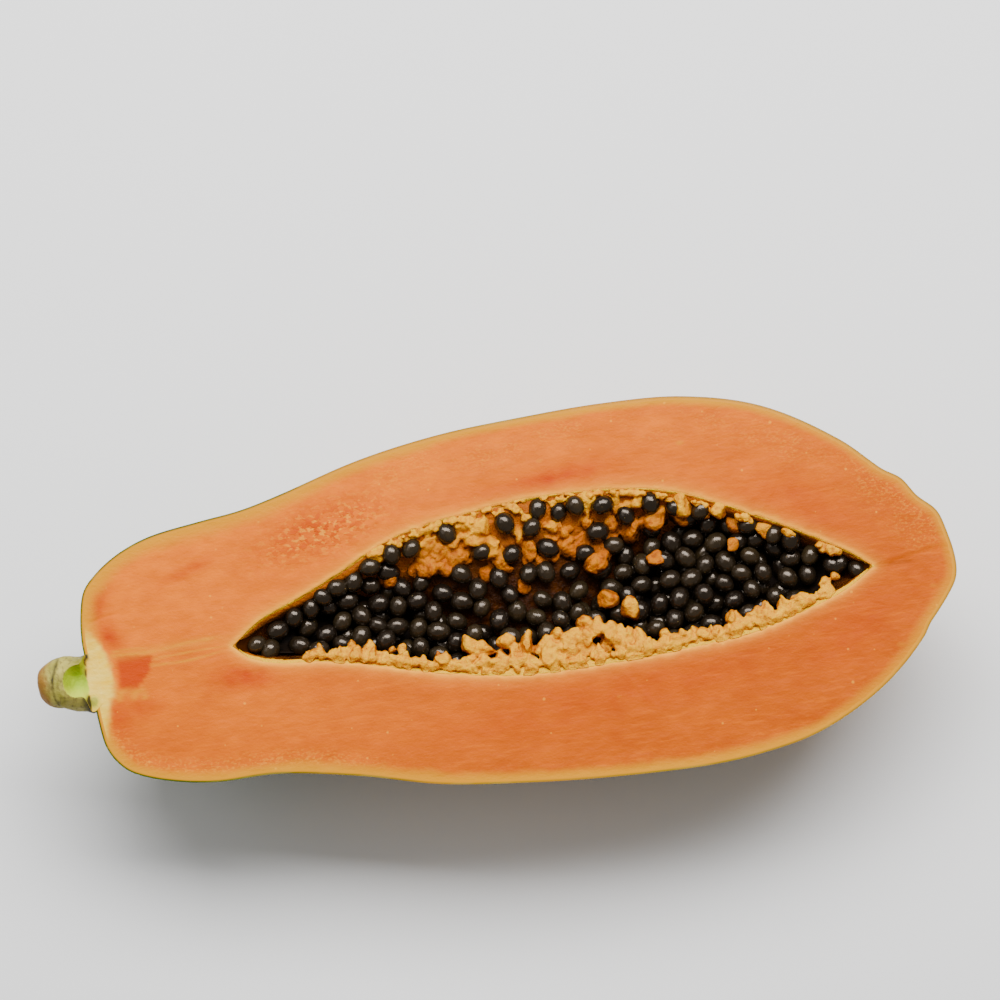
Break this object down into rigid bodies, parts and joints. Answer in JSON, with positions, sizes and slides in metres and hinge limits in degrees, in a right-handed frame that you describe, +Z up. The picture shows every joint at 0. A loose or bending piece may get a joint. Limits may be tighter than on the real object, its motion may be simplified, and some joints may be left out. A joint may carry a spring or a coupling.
{
  "type": "papaya half",
  "caption": "Long ripe papaya cut in half lengthwise, lying on its skin, with a level cut face, a pointed seed cavity heaped with dark seeds and a short stem.",
  "frame": {"origin": "middle of the footprint box, stem included, on the surface that the half rests on", "axes": "+X along the fruit from the stem to the blossom end, +Y across the cut face, +Z up, out of the cut face"},
  "size_m": [0.2764, 0.1134, 0.0594],
  "materials": {
    "skin": "smooth waxy fruit skin, yellow with green towards the stem and small dark specks",
    "flesh": "moist orange flesh, cut with a knife, with a yellow band under the skin",
    "seed_bed": "soft crumbly cream to yellow-orange pulp",
    "seeds": "wet glossy near-black seed coats with a brown-olive tint",
    "stem": "pale green woody stalk with brown scars and a dry brown tip"
  },
  "bodies": {
    "root": {"skin": "skin", "flesh": "flesh", "seed_bed": "seed_bed", "seeds": "seeds", "stem": "stem"}
  },
  "joints": []
}
